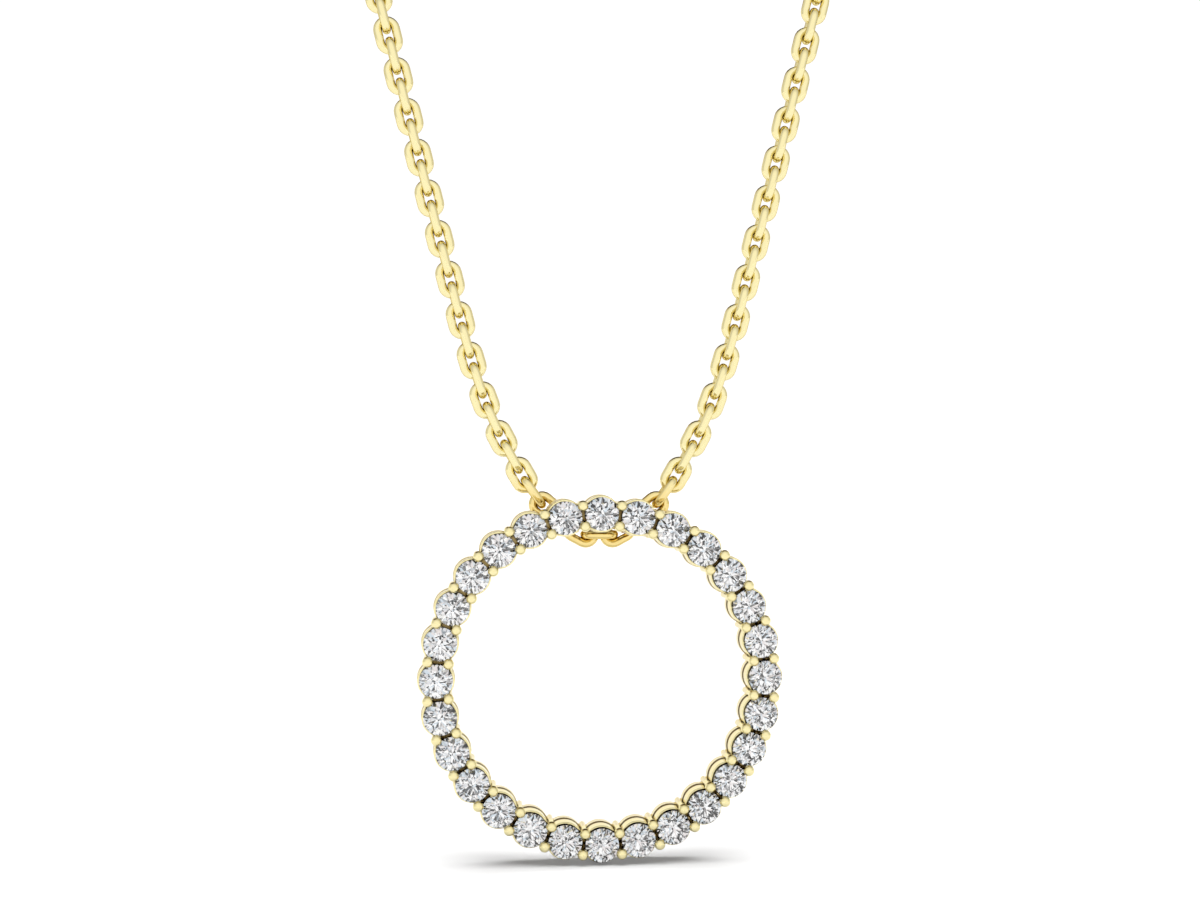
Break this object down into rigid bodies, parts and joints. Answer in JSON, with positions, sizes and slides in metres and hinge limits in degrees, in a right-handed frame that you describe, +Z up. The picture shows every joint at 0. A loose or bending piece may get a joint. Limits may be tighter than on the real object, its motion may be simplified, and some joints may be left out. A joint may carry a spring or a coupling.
{
  "type": "open circle pendant necklace",
  "caption": "Open circle of round faceted stones in shared-prong cups, hung by two hidden loops on a closed fine cable chain.",
  "frame": {"origin": "the nape: the side of the clasp that lies against the neck, level with the clasp's middle", "axes": "+X to the right as seen from the front, +Y from the front to the nape, +Z up"},
  "size_m": [0.1018, 0.1097, 0.1415],
  "materials": {
    "gold": "polished yellow gold",
    "stone": "clear, faceted and polished"
  },
  "bodies": {
    "chain": {"chain_front": "gold", "chain_left": "gold", "chain_right": "gold", "clasp": "gold"},
    "pendant": {"setting": "gold", "stone_01": "stone", "stone_02": "stone", "stone_03": "stone", "stone_04": "stone", "stone_05": "stone", "stone_06": "stone", "stone_07": "stone", "stone_08": "stone", "stone_09": "stone", "stone_10": "stone", "stone_11": "stone", "stone_12": "stone", "stone_13": "stone", "stone_14": "stone", "stone_15": "stone", "stone_16": "stone", "stone_17": "stone", "stone_18": "stone", "stone_19": "stone", "stone_20": "stone", "stone_21": "stone", "stone_22": "stone", "stone_23": "stone", "stone_24": "stone", "stone_25": "stone", "stone_26": "stone", "stone_27": "stone", "stone_28": "stone"}
  },
  "joints": [
    {"name": "pendant_swing", "type": "hinge", "parent": "chain", "child": "pendant", "pos_m": [0, -0.105, -0.12148], "axis": [-1, 0, 0], "range_deg": [0, 20]}
  ]
}
